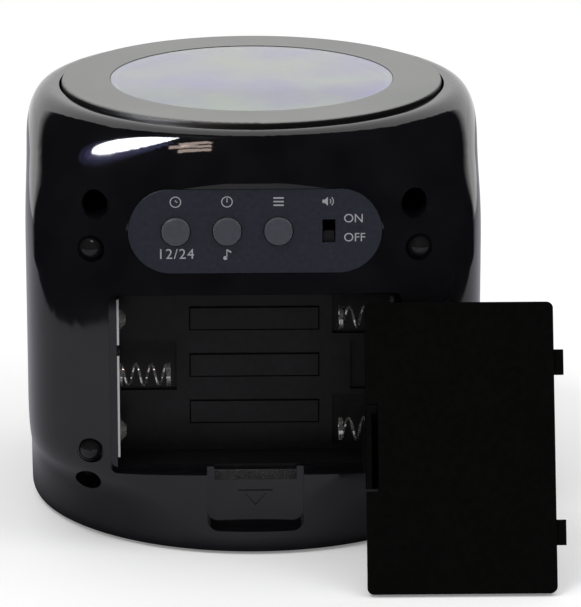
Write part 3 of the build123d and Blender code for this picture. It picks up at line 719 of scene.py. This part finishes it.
# %% [markdown]
# ## Print on the control panel
# Pale ink marks the keys; on the real product it is pad printed. It could be an image on the panel, but
# then it would blur close by. The marks are filled flat curves instead: a curve with `fill_mode` set
# fills the space between its outlines, so a ring is two circles, and the print keeps crisp edges at any
# zoom. The keys carry signs instead of words: a short hand for hours, a long hand for minutes, three bars
# for the mode, a loudspeaker for the spoken time and a note for the sound.

# %% Where the panel lies
mm = 0.001


def middle_of(node):
    return sum(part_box(node), Vector()) / 2


panel_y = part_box("control_panel")[1].y
key_middles = [middle_of(name) for name in ("hour_button", "minute_button", "mode_button")]
key_z = key_middles[0].z
switch_x = middle_of("slide_knob").x
print("panel at y =", round(panel_y / mm, 2), "mm, keys at x =", [round(k.x / mm, 2) for k in key_middles])

# %% [markdown]
# A curve lies in its own plane, so it is turned to stand on the back: its right is then the viewer's
# right, and up is up.

# %% Curves that lie on the back
ink_depth = 0.01 * mm
on_the_back = (pi / 2, 0, pi)


def flat_curve(name, outlines, x, z, y, depth=ink_depth):
    """Filled outlines in millimetres, right and up as seen from behind, standing a little proud of y."""
    curve = bpy.data.curves.new(name, "CURVE")
    curve.dimensions, curve.fill_mode = "2D", "BOTH"
    curve.extrude = depth
    for outline in outlines:
        spline = curve.splines.new("POLY")
        spline.points.add(len(outline) - 1)
        spline.use_cyclic_u = True
        for point, (u, v) in zip(spline.points, outline):
            point.co = (u * mm, v * mm, 0.0, 1.0)
    piece = bpy.data.objects.new(name, curve)
    piece.location = (x, y + depth / 2, z)
    piece.rotation_euler = on_the_back
    bpy.context.scene.collection.objects.link(piece)
    return piece


print("ink is", round(2 * ink_depth / mm, 3), "mm thick")

# %% Outlines
def circle(radius, x=0.0, y=0.0, steps=32):
    angles = [2 * pi * i / steps for i in range(steps)]
    return [(x + radius * cos(a), y + radius * sin(a)) for a in angles]


def bar(x_low, y_low, x_high, y_high):
    return [(x_low, y_low), (x_high, y_low), (x_high, y_high), (x_low, y_high)]


def arc_band(inner, line, half_angle, x=0.0, steps=10):
    """Part of a ring that opens to the right."""
    angles = [radians(half_angle) * (2 * i / steps - 1) for i in range(steps + 1)]
    out = [(x + (inner + line) * cos(a), (inner + line) * sin(a)) for a in angles]
    back = [(x + inner * cos(a), inner * sin(a)) for a in reversed(angles)]
    return out + back


print("a circle has", len(circle(1.0)), "corners")

# %% [markdown]
# All signs are drawn in millimetres round their own middle, about two millimetres high, with lines of
# about 0.2.

# %% Clock signs and the mode sign
dial_radius, dial_line, hand_tail = 1.05, 0.18, 0.1
hour_half, hour_reach, minute_half, minute_reach = 0.11, 0.36, 0.09, 0.70
mode_reach, mode_half, mode_pitch = 0.95, 0.14, 0.68

dial = [circle(dial_radius), circle(dial_radius - dial_line)]
hour_up = bar(-hour_half, -hand_tail, hour_half, hour_reach)
hour_right = bar(-hand_tail, -hour_half, hour_reach, hour_half)
minute_up = bar(-minute_half, -hand_tail, minute_half, minute_reach)
signs = {
    "hour_sign": [*dial, hour_up, hour_right],
    "minute_sign": [*dial, minute_up],
    "mode_sign": [
        bar(-mode_reach, v - mode_half, mode_reach, v + mode_half) for v in (-mode_pitch, 0.0, mode_pitch)
    ],
}
print("signs:", ", ".join(signs))

# %% Loudspeaker and note
wave_line, wave_angle, wave_middle, near_wave, far_wave = 0.17, 48, -0.2, 0.45, 0.92
horn = [(-1.2, -0.32), (-0.75, -0.32), (-0.2, -0.85), (-0.2, 0.85), (-0.75, 0.32), (-1.2, 0.32)]
note_radius, note_x, note_y, stem_left, stem_right, stem_top = 0.38, -0.35, -0.72, -0.15, 0.03, 0.95
note_flag = [(0.03, 0.95), (0.75, 0.55), (0.75, 0.2), (0.03, 0.6)]

waves = [arc_band(inner, wave_line, wave_angle, wave_middle) for inner in (near_wave, far_wave)]
note_head, note_stem = circle(note_radius, note_x, note_y), bar(stem_left, note_y, stem_right, stem_top)
signs["talk_sign"] = [horn, *waves]
signs["sound_sign"] = [note_head, note_stem, note_flag]
print("signs:", ", ".join(signs))

# %% [markdown]
# Each sign rides on the case, whose panel it is printed on, and is inked in the label ink.

# %% Place the signs
label_up, label_down = 5.6 * mm, 4.3 * mm
ink = plastic("label_ink", dark=(0.27, 0.27, 0.30), light=(0.33, 0.33, 0.36), rough=(0.5, 0.6), grain=3000)


def print_on_panel(piece):
    piece.data.materials.append(ink)
    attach(piece, "case")


places = {
    "hour_sign": (key_middles[0].x, key_z + label_up),
    "minute_sign": (key_middles[1].x, key_z + label_up),
    "mode_sign": (key_middles[2].x, key_z + label_up),
    "talk_sign": (switch_x, key_z + label_up),
    "sound_sign": (key_middles[1].x, key_z - label_down),
}
for name, (x, z) in places.items():
    print_on_panel(flat_curve(name, signs[name], x, z, panel_y))
    print(name, "at", round(x / mm, 2), round(z / mm, 2), "mm")

# %% [markdown]
# Plain numbers and the switch's two words are text objects. A text's size is the height of its line, and
# its capitals are 0.70 of that.

# %% Numbers and words
capital_share, number_height, word_height, number_spacing = 0.70, 1.9 * mm, 1.6 * mm, 1.12
on_left, on_up, off_left, off_down = 4.5 * mm, 2.3 * mm, 4.7 * mm, 1.3 * mm


def panel_text(name, words, x, z, height, spacing=1.0):
    """Plain lettering with capitals of that height, centred on its place."""
    curve = bpy.data.curves.new(name, "FONT")
    curve.body = words
    curve.align_x, curve.align_y = "CENTER", "CENTER"
    curve.size = height / capital_share
    curve.space_character = spacing
    curve.extrude = ink_depth
    piece = bpy.data.objects.new(name, curve)
    piece.location = (x, panel_y + ink_depth / 2, z)
    piece.rotation_euler = on_the_back
    bpy.context.scene.collection.objects.link(piece)
    print_on_panel(piece)
    print(name, "reads", words, "in capitals of", round(height / mm, 2), "mm")


panel_text("hours_text", "12/24", key_middles[0].x, key_z - label_down, number_height, number_spacing)
panel_text("on_text", "ON", switch_x - on_left, key_z + on_up, word_height)
panel_text("off_text", "OFF", switch_x - off_left, key_z - off_down, word_height)

# %% [markdown]
# ## Fine marks in the battery bay and the finger recess
# Each label pad in the bay has a thin engraved frame, and the finger recess has a moulded arrow for the
# way the latch is pushed and a rough strip that a fingertip grips. The mould carries all of them; they
# are lines of a few tenths of a millimetre, finer than the solids, so thin pieces that lie on the solids
# stand for them.

# %% Where the bay and the recess lie
row_z = middle_of("spring_middle_row").z
plate_gap, label_proud, ledge_above_tray = 0.1 * mm, 0.25 * mm, 1.5 * mm
pad_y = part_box("plate_low_left")[0].y - plate_gap + label_proud
recess_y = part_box("battery_tray")[1].y + ledge_above_tray
print("pads at y =", round(pad_y / mm, 2), "mm, recess floor at y =", round(recess_y / mm, 2), "mm")

# %% Frames on the label pads
pad_width, pad_height, pad_pitch, frame_line = 24.3, 4.5, 9.1, 0.2
rows_up = (1, 0, -1)


def centred_bar(width, height):
    return bar(-width / 2, -height / 2, width / 2, height / 2)


def moulded(piece, finish):
    """Makes a fine mark part of the case."""
    piece.data.materials.append(finish)
    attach(piece, "case")


line_black = plastic(
    "line_black", dark=(0.0006, 0.0006, 0.0006), light=(0.0010, 0.0010, 0.0010), rough=(0.75, 0.85),
    grain=3000, Specular_IOR_Level=0.05,
)
frame_outlines = [
    centred_bar(pad_width, pad_height),
    centred_bar(pad_width - 2 * frame_line, pad_height - 2 * frame_line),
]
for i, up in enumerate(rows_up):
    pad_z = row_z + up * pad_pitch * mm
    moulded(flat_curve(f"label_frame_{i}", frame_outlines, 0.0, pad_z, pad_y), line_black)
    print("label frame", i, "at z =", round(pad_z / mm, 2), "mm")

# %% [markdown]
# The arrow is a triangle with an even line. Its inner edge is its outer edge shrunk about the middle of
# the circle that the triangle holds, which is the one point at the same distance from all three sides.

# %% Arrow in the recess
arrow_width, arrow_height, arrow_line, arrow_z, arrow_depth = 6.4, 3.6, 0.5, 9.8, 0.2


def arrowhead(width, height):
    """A triangle that points down, centred on its middle height."""
    return [(-width / 2, height / 2), (width / 2, height / 2), (0.0, -height / 2)]


slant = (arrow_width ** 2 / 4 + arrow_height ** 2) ** 0.5
held_radius = arrow_width * arrow_height / (arrow_width + 2 * slant)
held_y, shrink = arrow_height / 2 - held_radius, 1 - arrow_line / held_radius
outer = arrowhead(arrow_width, arrow_height)
inner = [(x * shrink, held_y + (y - held_y) * shrink) for x, y in outer]
arrow = flat_curve("recess_arrow", [outer, inner], 0.0, arrow_z * mm, recess_y, arrow_depth * mm)
moulded(arrow, finishes["case_gloss"])
print("arrow", arrow_width, "by", arrow_height, "mm, held circle", round(held_radius, 2), "mm")

# %% [markdown]
# The rough strip is a fine grid with uneven heights. A bump could fake it from behind, but it would look
# flat from the side. The heights come from a seeded generator, so the strip is the same on each run. Its
# edges stay flat and meet the recess floor.

# %% Rough strip in the recess
grip_width, grip_low, grip_high, grip_cell, grip_height, grip_seed = 15.4, 13.7, 15.6, 0.16, 0.24, 11
columns, rows = round(grip_width / grip_cell), round((grip_high - grip_low) / grip_cell)
bumps = random.Random(grip_seed)
corners = []
for row in range(rows + 1):
    for column in range(columns + 1):
        edge = row in (0, rows) or column in (0, columns)
        rise = 0.0 if edge else grip_height * bumps.random()
        x, z = column * grip_cell - grip_width / 2, grip_low + row * grip_cell
        corners.append((x * mm, recess_y + rise * mm, z * mm))
n = columns + 1
faces = [
    (r * n + c, (r + 1) * n + c, (r + 1) * n + c + 1, r * n + c + 1)
    for r in range(rows) for c in range(columns)
]
grip = new_piece("recess_grip", corners, faces)
# The strip is black plastic, but its colour is a lighter grey: a painted sheen for the light its rough top
# catches.
grip_black_and_sheen = plastic(
    "grip_black_and_sheen", dark=(0.022, 0.022, 0.023), light=(0.034, 0.034, 0.035), rough=(0.3, 0.45), grain=3000,
)
moulded(grip, grip_black_and_sheen)
print("grip strip:", len(faces), "facets")

# %% [markdown]
# ## End

# %% Finish
print("the clock is dressed")
